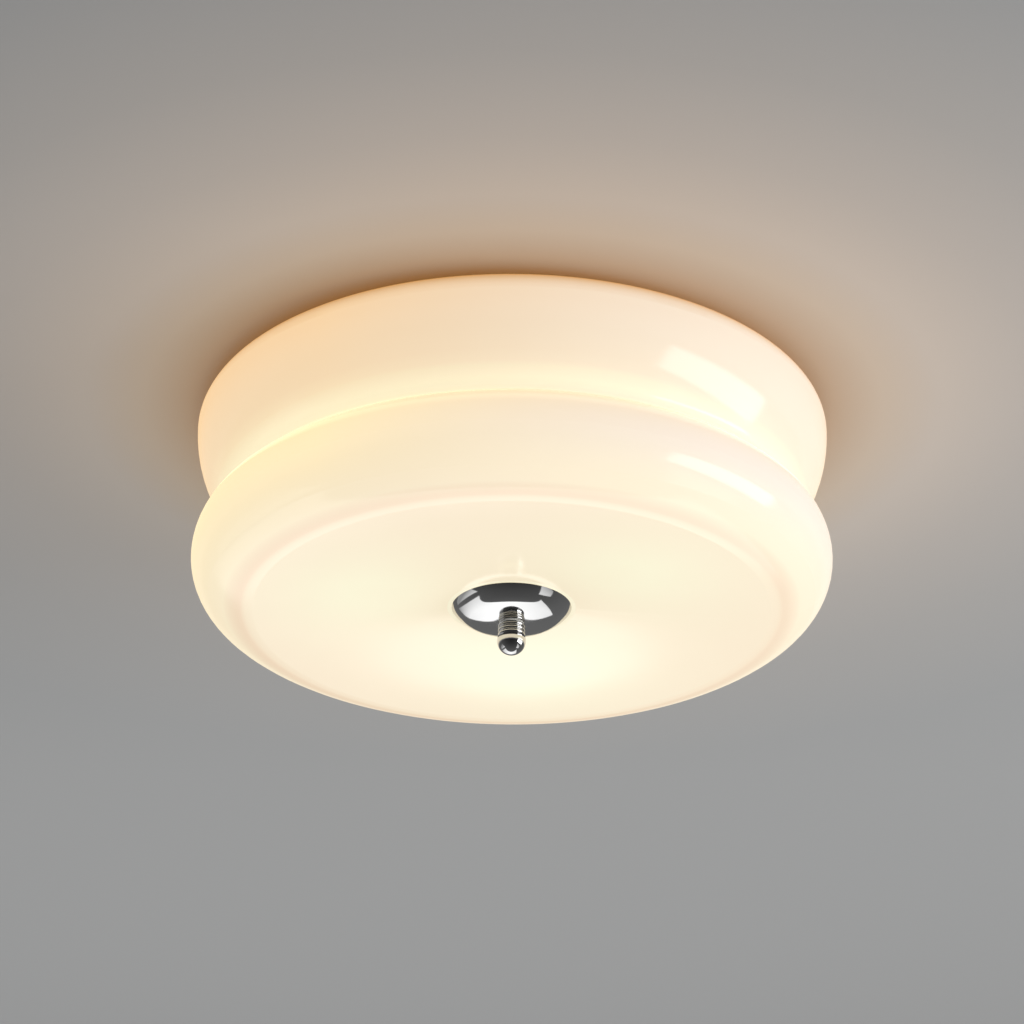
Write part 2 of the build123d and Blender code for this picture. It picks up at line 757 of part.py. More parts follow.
for name, x in terminals:
    with BuildPart() as terminal:
        with BuildSketch(Plane.XY.offset(terminal_foot)):
            with Locations((x, terminal_y)):
                Rectangle(terminal_width, terminal_width)
        extrude(amount=terminal_top - terminal_foot)
        with BuildSketch(Plane.XY.offset(terminal_top)):
            with Locations((x, terminal_y)):
                Circle(supply_bore_radius)
        extrude(amount=-supply_bore_depth, mode=Mode.SUBTRACT)
        mouth = terminal.edges().filter_by(GeomType.CIRCLE).group_by(Axis.Z)[-1]
        chamfer(mouth, supply_funnel)
        with BuildSketch(screw_face):
            with Locations((-x, 0)):
                Circle(terminal_screw_radius + thread_clearance)
        extrude(amount=-terminal_screw_reach, mode=Mode.SUBTRACT)
    save(terminal, name)

with BuildPart() as terminal_screws:
    with BuildSketch(screw_face.offset(-terminal_recess)):
        with Locations(*terminal_screw_places):
            Circle(terminal_screw_radius)
    extrude(amount=-(terminal_screw_reach - 2 * terminal_recess))
    with BuildSketch(screw_face.offset(-terminal_recess)):
        with Locations(*terminal_screw_places):
            Rectangle(2 * terminal_screw_radius, terminal_screw_slot)
    extrude(amount=-terminal_screw_slot, mode=Mode.SUBTRACT)
save(terminal_screws, "terminal_screws")

block_screw_length = pan_sheet + block_height / 2 - block_screw_gap
block_screw_plane = Plane(origin=(*block_screw_place, pan_floor_z), z_dir=(0, 0, -1))
block_screw_solid = small_screw(block_screw_plane, block_screw_length)
with BuildPart() as block_screw:
    add(block_screw_solid)
save(block_screw, "block_screw")

with BuildPart() as earth_tag:
    with BuildSketch(Plane.XY.offset(pan_floor_top)):
        with Locations((earth_x, block_centre_y)):
            Circle(earth_tag_radius)
            Circle(earth_screw_radius + screw_clearance, mode=Mode.SUBTRACT)
        with Locations((earth_x - earth_neck_centre, block_centre_y)):
            Rectangle(earth_neck_length, 2 * earth_barrel_radius)
    extrude(amount=earth_tag_sheet)
    barrel_plane = Plane(
        origin=(earth_x - earth_barrel_start, block_centre_y, earth_z), z_dir=(-1, 0, 0), x_dir=(0, 1, 0)
    )
    with BuildSketch(barrel_plane):
        Circle(earth_barrel_radius)
    extrude(amount=earth_barrel_length)
    with BuildSketch(barrel_plane.offset(earth_barrel_length)):
        Circle(earth_lead_radius + earth_lead_fit)
    extrude(amount=-earth_barrel_bore_depth, mode=Mode.SUBTRACT)
save(earth_tag, "earth_tag")

earth_screw_solid = screw(
    Plane(origin=(earth_x, block_centre_y, pan_floor_top + earth_tag_sheet), z_dir=(0, 0, 1)),
    earth_screw_radius,
    earth_screw_head_radius,
    earth_screw_head,
    pan_sheet + earth_tag_sheet + earth_screw_end,
)
with BuildPart() as earth_screw:
    add(earth_screw_solid)
save(earth_screw, "earth_screw")

earth_route = (
    (earth_x - earth_lead_start, block_centre_y, earth_z),
    (earth_x - earth_lead_turns[0], block_centre_y, earth_z),
    (earth_x - earth_lead_turns[1], earth_entry_y, earth_z),
    (block_width / 2 - block_entry_depth + block_screw_gap, earth_entry_y, earth_z),
)
with BuildPart() as earth_lead:
    with BuildLine() as earth_path:
        FilletPolyline(*earth_route, radius=earth_lead_bend_radius)
    with BuildSketch(Plane(origin=earth_route[0], z_dir=(-1, 0, 0))):
        Circle(earth_lead_radius)
    sweep()
save(earth_lead, "earth_lead")

# ---- what clamps the shade ---------------------------------------------------------------------
flange_top = seat_inner_z + bush_flange_thickness
with BuildPart() as shade_bush:
    with BuildSketch(Plane.XZ):
        with BuildLine():
            Polyline(
                (rod_hole, seat_z),
                (shade_hole_radius - bush_fit, seat_z),
                (shade_hole_radius - bush_fit, seat_inner_z),
                (bush_flange_radius, seat_inner_z),
                (bush_flange_radius, flange_top),
                (rod_hole, flange_top),
                close=True,
            )
        make_face()
    revolve(axis=Axis.Z)
save(shade_bush, "shade_bush")
save(ring(rod_hole, washer_radius, flange_top, flange_top + washer_thickness), "stop_washer")
save(hex_nut(flange_top + washer_thickness), "stop_nut")

with BuildPart() as cap_gasket:
    with BuildSketch(Plane.XY.offset(ledge_z)):
        Circle(cap_ledge_radius - gasket_clearance)
        Circle(cap_ledge_inner_radius + gasket_clearance, mode=Mode.SUBTRACT)
    extrude(amount=gasket_thickness)
save(cap_gasket, "cap_gasket")

shoulder_start = cap_radius - cap_rim_radius - cap_shoulder_width
inner_flat_r = rod_hole + cap_inner_flat
with BuildPart() as dome_cap:
    with BuildSketch(Plane.XZ):
        with BuildLine():
            EllipticalCenterArc(
                (shoulder_start, cap_rim_z),
                cap_shoulder_width + cap_rim_radius,
                cap_depth,
                start_angle=270,
                arc_size=90,
            )
            CenterArc((cap_radius - cap_rim_radius, cap_rim_z), cap_rim_radius, 0, 180)
            inner = Polyline(
                (cap_radius - 2 * cap_rim_radius, cap_rim_z),
                (cap_ledge_radius, cap_rim_z),
                (cap_ledge_radius, ledge_z),
                (cap_ledge_inner_radius, ledge_z),
            )
            TangentArc((inner_flat_r, cap_base_z + cap_wall), inner @ 1, tangent=(1, 0))
            Polyline(
                (inner_flat_r, cap_base_z + cap_wall),
                (rod_hole, cap_base_z + cap_wall),
                (rod_hole, cap_base_z),
                (shoulder_start, cap_base_z),
            )
        make_face()
    revolve(axis=Axis.Z)
save(dome_cap, "dome_cap")

save(ring(rod_hole, finial_washer_radius, finial_top_z, cap_base_z), "finial_washer")

neck_length = finial_ball_drop - sqrt(finial_ball_radius**2 - finial_neck_radius**2)
ring_pitch = neck_length / finial_neck_rings
neck_root = finial_neck_radius - finial_ring_depth
with BuildPart() as finial:
    with BuildSketch(Plane.XZ):
        with BuildLine():
            for n in range(finial_neck_rings):
                high = finial_top_z - n * ring_pitch
                low = high - ring_pitch
                ThreePointArc((neck_root, high), (finial_neck_radius, (high + low) / 2), (neck_root, low))
            Polyline((neck_root, low), (0, low), (0, finial_top_z), (neck_root, finial_top_z))
        make_face()
    revolve(axis=Axis.Z)
    with Locations((0, 0, ball_z)):
        Sphere(finial_ball_radius)
    with BuildSketch(Plane.XY.offset(finial_top_z)):
        Circle(thread_hole)
    extrude(amount=-rod_engagement - finial_run_out, mode=Mode.SUBTRACT)
save(finial, "finial")
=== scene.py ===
"""Looks of the flush mount ceiling light: materials, threads, ceiling, lights and camera, in metres."""

import json
from math import cos, pi, radians, sin, tan

import bmesh
import bpy
from mathutils import Euler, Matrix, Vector


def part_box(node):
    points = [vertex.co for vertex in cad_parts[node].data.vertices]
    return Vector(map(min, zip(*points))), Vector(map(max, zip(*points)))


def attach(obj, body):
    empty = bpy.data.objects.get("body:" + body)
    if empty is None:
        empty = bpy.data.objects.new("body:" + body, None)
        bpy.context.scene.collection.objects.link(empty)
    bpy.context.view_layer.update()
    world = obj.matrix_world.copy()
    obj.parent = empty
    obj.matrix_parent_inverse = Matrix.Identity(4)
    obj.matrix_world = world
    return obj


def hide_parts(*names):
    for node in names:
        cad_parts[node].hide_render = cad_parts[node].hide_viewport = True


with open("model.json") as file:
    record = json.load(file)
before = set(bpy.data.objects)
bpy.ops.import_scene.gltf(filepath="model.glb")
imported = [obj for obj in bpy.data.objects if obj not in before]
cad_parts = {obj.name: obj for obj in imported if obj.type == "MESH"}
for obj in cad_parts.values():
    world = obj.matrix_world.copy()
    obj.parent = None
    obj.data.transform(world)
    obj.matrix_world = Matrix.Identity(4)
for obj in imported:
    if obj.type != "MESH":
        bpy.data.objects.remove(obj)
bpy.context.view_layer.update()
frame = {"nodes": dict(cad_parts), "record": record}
nodes = frame["nodes"]
scene = bpy.context.scene
scene.view_settings.view_transform = "Standard"

ARMS = {1: -41.0, 2: 79.0, 3: 199.0}  # degrees round the rod
ARM_HEIGHT = -0.066
TIP_RADIUS = 0.038  # from the rod's axis to a bulb's end contact
GLOBE_REACH = 0.055  # from that contact to the middle of the bulb's globe
SOLDER_RADIUS = 0.0046  # of the bulb's end contact


def outward(number):
    angle = radians(ARMS[number])
    return Vector((cos(angle), sin(angle), 0))


def on_arm(number, reach):
    """Point on an arm's axis, measured outward from the bulb's end contact."""
    return outward(number) * (TIP_RADIUS + reach) + Vector((0, 0, ARM_HEIGHT))


# ---- materials ---------------------------------------------------------------------------------
class Wiring:
    """A node tree being wired up."""

    def __init__(self, tree):
        self.tree = tree

    def feed(self, socket, value):
        if isinstance(value, bpy.types.NodeSocket):
            self.tree.links.new(value, socket)
        elif isinstance(value, tuple) and len(value) == 3 and len(socket.default_value) == 4:
            socket.default_value = (*value, 1)
        else:
            socket.default_value = value

    def node(self, kind, *inputs, **settings):
        made = self.tree.nodes.new(kind)
        for key, value in settings.items():
            setattr(made, key, value)
        for index, value in enumerate(inputs):
            self.feed(made.inputs[index], value)
        return made

    def maths(self, operation, a, b=0.0):
        return self.node("ShaderNodeMath", a, b, operation=operation).outputs[0]

    def range(self, value, low, high, to_low=0.0, to_high=1.0):
        """Value between low and high, carried over to to_low and to_high and held there."""
        return self.node("ShaderNodeMapRange", value, low, high, to_low, to_high).outputs[0]

    def parts(self, vector):
        return self.node("ShaderNodeSeparateXYZ", vector).outputs


class Look(Wiring):
    """A node material being wired up."""

    def __init__(self, name, **sockets):
        self.material = bpy.data.materials.new(name)
        self.material.use_nodes = True
        super().__init__(self.material.node_tree)
        self.shader = self.tree.nodes["Principled BSDF"]
        self.set(**sockets)
        self.place = self.node("ShaderNodeTexCoord").outputs["Object"]

    def set(self, **sockets):
        for name, value in sockets.items():
            self.feed(self.shader.inputs[name.replace("_", " ")], value)

    def vector(self, operation, a, b=(0, 0, 0)):
        return self.node("ShaderNodeVectorMath", a, b, operation=operation)

    def length(self, vector):
        return self.vector("LENGTH", vector).outputs["Value"]

    def dot(self, a, b):
        return self.vector("DOT_PRODUCT", a, b).outputs["Value"]

    def noise(self, scale, detail=3.0, stretch=None):
        place = self.place
        if stretch:
            place = self.vector("MULTIPLY", place, stretch).outputs[0]
        made = self.node("ShaderNodeTexNoise")
        self.feed(made.inputs["Vector"], place)
        self.feed(made.inputs["Scale"], scale)
        self.feed(made.inputs["Detail"], detail)
        return made.outputs["Fac"]

    def ramp(self, factor, *stops):
        made = self.node("ShaderNodeValToRGB", factor)
        band = made.color_ramp
        while len(band.elements) < len(stops):
            band.elements.new(0.5)
        for element, (position, colour) in zip(band.elements, stops):
            element.position = position
            element.color = (*colour, 1)
        return made.outputs[0]

    def mix(self, factor, a, b):
        made = self.node("ShaderNodeMix", data_type="RGBA")
        colours = [socket for socket in made.inputs if socket.type == "RGBA"]
        self.feed(made.inputs["Factor"], factor)
        self.feed(colours[0], a)
        self.feed(colours[1], b)
        return [socket for socket in made.outputs if socket.type == "RGBA"][0]

    def bump(self, height, distance, strength=1.0):
        made = self.node("ShaderNodeBump")
        self.feed(made.inputs["Height"], height)
        self.feed(made.inputs["Distance"], distance)
        self.feed(made.inputs["Strength"], strength)
        self.set(Normal=made.outputs[0])


def varied(look, factor, dark, light):
    """Base colour that wanders between two tones."""
    look.set(Base_Color=look.ramp(factor, (0.3, dark), (0.7, light)))


WINDOW_SIDE = (cos(radians(-35)), sin(radians(-35)), 0.0)  # where the daylight comes from, painted into the glass's emission as whiter light on that side
WAIST_TOP = -0.058  # painted light: bright band of reflected glow in the groove between the two bulges
WAIST_BOTTOM = -0.078


def bulb_light(look):
    """How strongly the three globes light each point of the glass: cosine over distance squared."""
    coordinates = look.node("ShaderNodeTexCoord").outputs
    total = 0.0
    for number in ARMS:
        globe = tuple(on_arm(number, GLOBE_REACH))
        ray = look.vector("SUBTRACT", coordinates["Object"], globe).outputs[0]
        facing = look.maths("ABSOLUTE", look.dot(coordinates["Normal"], ray))
        cube = look.maths("POWER", look.length(ray), 3.0)
        total = look.maths("ADD", total, look.maths("DIVIDE", facing, cube))
    return total


def opal_glass():
    """Milk glass with painted light: its emission stands in for the bulbs' light through it, brightest
    where the bulbs are near, whiter towards the window.
    """
    look = Look("opal_glass", IOR=1.5, Emission_Strength=1.0)
    varied(look, look.noise(9.0), (0.51, 0.495, 0.465), (0.53, 0.515, 0.485))
    coordinates = look.node("ShaderNodeTexCoord").outputs
    height = look.parts(coordinates["Object"])["Z"]
    up = look.parts(coordinates["Normal"])["Z"]  # -1 on the base, 0 on the sides, 1 on the tops

    cloud = look.range(look.noise(14.0, 2.0), 0.0, 1.0, -0.02, 0.02)
    glow = look.maths("ADD", look.range(bulb_light(look), 30.0, 230.0), cloud)
    base = look.ramp(glow, (0.0, (0.58, 0.455, 0.285)), (0.9, (0.60, 0.57, 0.36)))

    # painted light: the emission is whiter on the side that faces the window; painted shade: darker and
    # more orange on the upper bulge
    window = look.range(look.dot(coordinates["Normal"], WINDOW_SIDE), 0.0, 1.0)
    low_side = look.mix(window, (0.82, 0.645, 0.34), (0.56, 0.465, 0.385))
    upper_side_shaded = look.mix(window, (0.69, 0.44, 0.195), (0.52, 0.41, 0.30))
    side = look.mix(look.range(height, -0.071, -0.052), low_side, upper_side_shaded)
    body = look.mix(look.maths("POWER", look.range(up, -1.0, 0.0), 0.7), base, side)

    # painted light: the band of glow that the two bulges throw on each other
    above = look.range(height, WAIST_BOTTOM, WAIST_BOTTOM + 0.008)
    below = look.range(height, WAIST_TOP, WAIST_TOP - 0.009)
    waist_glow = look.maths("MULTIPLY", look.maths("MULTIPLY", below, above), 0.7)
    lit = look.mix(waist_glow, body, (0.72, 0.66, 0.42))

    # painted shade: darker where the side turns into the base, on the tops of the bulges and next to the
    # ceiling
    bend_shade = look.maths("MULTIPLY", look.range(up, -1.0, -0.985), look.range(up, -0.975, -0.91, 1.0, 0.0))
    shaded = look.mix(bend_shade, lit, (0.54, 0.38, 0.21))
    crown_shaded = look.mix(look.range(up, 0.6, 0.9), shaded, (0.30, 0.19, 0.07))
    rim_shade = look.maths("MULTIPLY", look.range(height, -0.022, -0.004), look.range(up, 0.0, 0.6))
    look.set(
        Emission_Color=look.mix(rim_shade, crown_shaded, (0.42, 0.20, 0.04)),
        Roughness=look.range(look.noise(60.0), 0.0, 1.0, 0.11, 0.15),
    )
    look.bump(look.noise(11.0, 1.0), 0.0004, 0.5)
    return look.material


def chrome():
    look = Look("chrome", Metallic=1.0)
    varied(look, look.noise(40.0), (0.70, 0.70, 0.70), (0.76, 0.76, 0.755))
    look.set(Roughness=look.range(look.noise(90.0, 6.0), 0.3, 0.8, 0.045, 0.09))
    look.bump(look.noise(160.0, 2.0), 0.00003, 0.4)
    return look.material


def zinc_steel():
    look = Look("zinc_steel", Metallic=1.0)
    varied(look, look.noise(55.0, 6.0), (0.47, 0.48, 0.47), (0.66, 0.67, 0.70))
    look.set(Roughness=look.range(look.noise(120.0, 4.0), 0.2, 0.8, 0.26, 0.46))
    look.bump(look.noise(500.0, 3.0, (1, 6, 1)), 0.00004, 0.5)
    return look.material


def white_enamel():
    look = Look("white_enamel", Coat_Weight=0.2, Coat_Roughness=0.2)
    varied(look, look.noise(7.0), (0.80, 0.79, 0.76), (0.86, 0.855, 0.83))
    look.set(Roughness=look.range(look.noise(200.0), 0.2, 0.8, 0.34, 0.46))
    look.bump(look.noise(420.0, 2.0), 0.00006, 0.6)
    return look.material


def moulded(name, dark, light, roughness, grain):
    """Plastic or rubber with a fine mould grain."""
    look = Look(name)
    varied(look, look.noise(30.0, 4.0), dark, light)
    look.set(Roughness=look.range(look.noise(300.0), 0.2, 0.8, roughness - 0.06, roughness + 0.06))
    look.bump(look.noise(grain, 3.0), 0.00005, 0.6)
    return look.material


def earth_sheath():
    """Green sheath with a yellow stripe along its top."""
    look = Look("earth_sheath", Roughness=0.42)
    up = look.parts(look.node("ShaderNodeTexCoord").outputs["Normal"])["Z"]
    ragged = look.maths("ADD", up, look.range(look.noise(600.0), 0, 1, -0.05, 0.05))
    stripe = look.maths("GREATER_THAN", ragged, 0.35)
    look.set(Base_Color=look.mix(stripe, (0.05, 0.22, 0.05), (0.78, 0.66, 0.05)))
    look.bump(look.noise(700.0), 0.00004, 0.5)
    return look.material


def brass(name, dark, light, roughness):
    look = Look(name, Metallic=1.0)
    varied(look, look.noise(70.0, 5.0), dark, light)
    look.set(Roughness=look.range(look.noise(150.0, 4.0), 0.2, 0.8, roughness - 0.07, roughness + 0.1))
    look.bump(look.noise(600.0, 2.0), 0.00003, 0.5)
    return look.material


def porcelain():
    look = Look("porcelain", Roughness=0.32, Coat_Weight=1.0, Coat_Roughness=0.07)
    specks = look.ramp(look.noise(420.0, 1.0), (0.24, (0.62, 0.56, 0.47)), (0.30, (0.86, 0.845, 0.79)))
    patches = look.range(look.noise(14.0), 0.0, 1.0, 0.0, 0.5)
    look.set(Base_Color=look.mix(patches, specks, (0.83, 0.81, 0.75)))
    look.bump(look.noise(45.0, 2.0), 0.0002, 0.5)
    return look.material


def bulb_end(number):
    """Solder on the end contact, dark glass insulator round it."""
    look = Look(f"bulb_end_{number}")
    ray = look.vector("SUBTRACT", look.place, tuple(on_arm(number, 0.0))).outputs[0]
    across = look.vector("CROSS_PRODUCT", ray, tuple(outward(number))).outputs[0]
    metal = look.maths("LESS_THAN", look.length(across), SOLDER_RADIUS)
    solder = look.ramp(look.noise(500.0, 4.0), (0.3, (0.50, 0.50, 0.49)), (0.7, (0.72, 0.72, 0.70)))
    look.set(
        Base_Color=look.mix(metal, (0.012, 0.010, 0.014), solder),
        Metallic=metal,
        Roughness=look.range(metal, 0, 1, 0.09, 0.34),
    )
    look.bump(look.noise(380.0, 3.0), 0.0001, 0.5)
    return look.material


def rolled_cap_metal():
    look = Look("bulb_cap_metal", Metallic=1.0)
    varied(look, look.noise(90.0, 5.0), (0.62, 0.61, 0.59), (0.78, 0.775, 0.75))
    look.set(Roughness=look.range(look.noise(260.0, 4.0), 0.2, 0.8, 0.18, 0.32))
    look.bump(look.noise(900.0, 2.0), 0.00003, 0.4)
    return look.material


def led_board():
    look = Look("led_board", Roughness=0.5, Emission_Strength=1.0)
    varied(look, look.noise(150.0), (0.80, 0.80, 0.77), (0.87, 0.87, 0.85))
    glow = look.ramp(look.noise(40.0), (0.2, (0.50, 0.44, 0.30)), (0.8, (0.60, 0.53, 0.38)))
    look.set(Emission_Color=glow)
    look.bump(look.noise(500.0), 0.00004, 0.5)
    return look.material


def bulb_diffuser():
    look = Look("bulb_diffuser", Roughness=0.42, Emission_Strength=1.0)
    varied(look, look.noise(25.0), (0.84, 0.82, 0.76), (0.88, 0.86, 0.80))
    glow = look.ramp(look.noise(30.0), (0.2, (0.92, 0.80, 0.52)), (0.8, (0.98, 0.87, 0.60)))
    look.set(Emission_Color=glow)
    look.bump(look.noise(800.0), 0.00003, 0.4)
    return look.material


looks = {
    "opal_glass": opal_glass(),
    "chrome": chrome(),
    "zinc_steel": zinc_steel(),
    "white_enamel": white_enamel(),
    "rubber_white": moulded("rubber_white", (0.70, 0.69, 0.65), (0.78, 0.77, 0.73), 0.55, 500.0),
    "rubber_black": moulded("rubber_black", (0.025, 0.025, 0.027), (0.05, 0.05, 0.052), 0.5, 500.0),
    "nylon_white": moulded("nylon_white", (0.80, 0.79, 0.73), (0.86, 0.85, 0.80), 0.4, 350.0),
    "lead_sheath": moulded("lead_sheath", (0.76, 0.75, 0.71), (0.84, 0.83, 0.80), 0.46, 700.0),
    "earth_sheath": earth_sheath(),
    "tinned_brass": brass("tinned_brass", (0.56, 0.55, 0.51), (0.74, 0.73, 0.70), 0.3),
    "brass_green": brass("earth_brass", (0.44, 0.36, 0.14), (0.66, 0.55, 0.24), 0.3),
    "porcelain": porcelain(),
    "brass": brass("brass", (0.56, 0.40, 0.16), (0.78, 0.61, 0.30), 0.26),
    "bulb_cap_metal": rolled_cap_metal(),
    "bulb_plastic": moulded("bulb_plastic", (0.84, 0.84, 0.82), (0.89, 0.89, 0.87), 0.3, 600.0),
    "led_board": led_board(),
    "bulb_diffuser": bulb_diffuser(),
}
for row in frame["record"]["subparts"]:
    piece = nodes[row["node"]]
    slot = row["material_slot"]
    finish = bulb_end(int(piece.name[-1])) if slot == "bulb_contact" else looks[slot]
    piece.data.materials.clear()
    piece.data.materials.append(finish)


# ---- threads -----------------------------------------------------------------------------------
def ringed_mesh(name, rings):
    """Closed mesh over rings of points, each joined to the next and the last to the first."""
    mesh = bmesh.new()
    circles = [[mesh.verts.new(point) for point in ring] for ring in rings]
    for low, high in zip(circles, circles[1:] + circles[:1]):
        for column in range(len(low)):
            after = (column + 1) % len(low)
            mesh.faces.new((low[column], low[after], high[after], high[column]))
    bmesh.ops.recalc_face_normals(mesh, faces=mesh.faces)
    data = bpy.data.meshes.new(name)
    mesh.to_mesh(data)
    mesh.free()
    data.shade_smooth()
    made = bpy.data.objects.new(name, data)
    scene.collection.objects.link(made)
    return made


def screw_thread(name, start, axis, length, radius_at, bore, rows, columns):
    """Closed tube whose outer radius follows a helix: radius_at(height, turn) gives it."""
    side = axis.orthogonal().normalized()
    other = axis.cross(side)

    def ring(height, radius_of):
        points = []
        for column in range(columns):
            angle = 2 * pi * column / columns
            spoke = side * cos(angle) + other * sin(angle)
            points.append(start + axis * height + spoke * radius_of(height, column / columns))
        return points

    rings = [ring(length * row / rows, radius_at) for row in range(rows + 1)]
    rings += [ring(height, lambda *_: bore) for height in (length, 0.0)]
    return ringed_mesh(name, rings)


def dress(piece, slot, body, replaced):
    """Give a new piece its finish, the body that it rides on and the node that it stands for."""
    piece.data.materials.append(looks[slot])
    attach(piece, body)
    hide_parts(replaced)


def ridge(turn):
    """Metric thread profile over one pitch: 0 at the root, 1 at the crest."""
    across = abs(2 * (turn % 1.0) - 1)
    return min(max((across - 0.15) / 0.7, 0.0), 1.0)


ROD_RADIUS = 0.005
ROD_BORE = 0.0034
ROD_PITCH = 0.001
ROD_THREAD_DEPTH = 0.0006
rod_low, rod_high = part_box("centre_rod")
rod_length = rod_high.z - rod_low.z


def rod_radius(height, turn):
    """Metric thread, turned down to its root at both ends."""
    end = min(height, rod_length - height)
    depth = ROD_THREAD_DEPTH * min(max(1 - end / ROD_PITCH, 0), 1)
    return ROD_RADIUS - max(ROD_THREAD_DEPTH * (1 - ridge(height / ROD_PITCH - turn)), depth)


rod = screw_thread(
    "threaded_rod",
    start=Vector((0, 0, rod_low.z)),
    axis=Vector((0, 0, 1)),
    length=rod_length,
    radius_at=rod_radius,
    bore=ROD_BORE,
    rows=900,
    columns=40,
)
dress(rod, "zinc_steel", "ceiling_frame", "centre_rod")

CAP_START = 0.006  # from the bulb's end contact
CAP_END = 0.0255
CAP_CREST = 0.01305
CAP_ROOT = 0.01225
CAP_SHOULDER = 0.0104
CAP_BORE = 0.002
CAP_PITCH = 0.003629
CAP_FIRST = 0.002  # from the cap's start to its first turn
CAP_TURNS = 4


def bulb_cap_radius(height, turn):
    """Rounded screw thread that fades out at both ends, above a sloping shoulder."""
    if height < CAP_FIRST:
        return CAP_SHOULDER + (CAP_ROOT - CAP_SHOULDER) * height / CAP_FIRST
    along = height - CAP_FIRST
    left = CAP_TURNS * CAP_PITCH - along
    fade = min(max(min(along, left) / (0.5 * CAP_PITCH), 0), 1)
    wave = 0.5 - 0.5 * cos(2 * pi * (along / CAP_PITCH - turn))
    return CAP_ROOT + (CAP_CREST - CAP_ROOT) * wave * fade


for number in ARMS:
    cap = screw_thread(
        f"bulb_screw_cap_{number}",
        start=on_arm(number, CAP_START),
        axis=outward(number),
        length=CAP_END - CAP_START,
        radius_at=bulb_cap_radius,
        bore=CAP_BORE,
        rows=90,
        columns=64,
    )
    dress(cap, "bulb_cap_metal", f"bulb_{number}", f"bulb_cap_{number}")

# ---- cap ---------------------------------------------------------------------------------------
DOME_RIM_RADIUS = 0.0373
DOME_RIM_Z = -0.1314
DOME_BASE_Z = -0.1421
DOME_FLAT_RADIUS = 0.0085  # under the finial's washer
# radius and the dome's slope there in degrees
DOME_SLOPES = ((0.0085, 0.0), (0.026, 15.0), (0.031, 33.0), (0.0345, 41.0), (0.0373, 52.0))
DOME_STEPS = 96
DOME_STEP = (DOME_RIM_RADIUS - DOME_FLAT_RADIUS) / DOME_STEPS
POCKET_RADIUS = 0.0345  # round the gasket
POCKET_INNER_RADIUS = 0.027
POCKET_Z = -0.1343
HOLLOW = ((0.0256, -0.1360), (0.0236, -0.1378), (0.0205, -0.1395), (0.0172, -0.1405), (0.01415, -0.1409))
ROD_HOLE_RADIUS = 0.00515


def slope_at(radius):
    for (low, start), (high, end) in zip(DOME_SLOPES, DOME_SLOPES[1:]):
        if radius <= high:
            return radians(start + (end - start) * (radius - low) / (high - low))
    return radians(DOME_SLOPES[-1][1])


def turned_piece(name, profile, columns):
    """Mesh turned round the rod's axis from a closed profile of (radius, height)."""
    angles = [2 * pi * column / columns for column in range(columns)]
    rings = [[(radius * cos(a), radius * sin(a), height) for a in angles] for radius, height in profile]
    made = ringed_mesh(name, rings)
    made.data.set_sharp_from_angle(angle=radians(30))
    return made


rises = [0.0]
for step in range(DOME_STEPS):
    rises.append(rises[-1] + tan(slope_at(DOME_FLAT_RADIUS + DOME_STEP * (step + 0.5))))
dome = [
    (DOME_FLAT_RADIUS + DOME_STEP * step, DOME_BASE_Z + (DOME_RIM_Z - DOME_BASE_Z) * rise / rises[-1])
    for step, rise in enumerate(rises)
]
pocket = [(POCKET_RADIUS, DOME_RIM_Z), (POCKET_RADIUS, POCKET_Z), (POCKET_INNER_RADIUS, POCKET_Z)]
rod_hole = [(ROD_HOLE_RADIUS, HOLLOW[-1][1]), (ROD_HOLE_RADIUS, DOME_BASE_Z)]
cap_shell = turned_piece("cap_shell", dome + pocket + list(HOLLOW) + rod_hole, columns=192)
dress(cap_shell, "chrome", "cap", "dome_cap")

# ---- ceiling -----------------------------------------------------------------------------------
CEILING_HEIGHT = 0.0006
CEILING_REACH = 14.0
BOX_HOLE = 0.1745  # opening over the pan, inside its lip
CEILING_SIDES = 96
CEILING_SHADED_NEAR = (0.300, 0.303, 0.305)  # painted shade on the camera's side of the ceiling, lighter further away
CEILING_LIT_FAR = (0.392, 0.395, 0.395)
WARM_GLOW_AND_SHADE = (0.40, 0.35, 0.285)  # painted warm glow and shade on the ceiling next to the glass
HALO_REACH = 0.56  # from the rod's axis
HALO_SIDE = (cos(radians(-65)), sin(radians(-65)), 0.0)  # where it is brightest
HALO = (  # share of its reach, colour
    (0.330, (0.03, 0.005, 0.0)),
    (0.365, (0.13, 0.055, 0.015)),
    (0.420, (0.200, 0.125, 0.070)),
    (0.490, (0.205, 0.135, 0.080)),
    (0.600, (0.130, 0.085, 0.050)),
    (0.750, (0.062, 0.040, 0.022)),
    (1.000, (0.0, 0.0, 0.0)),
)


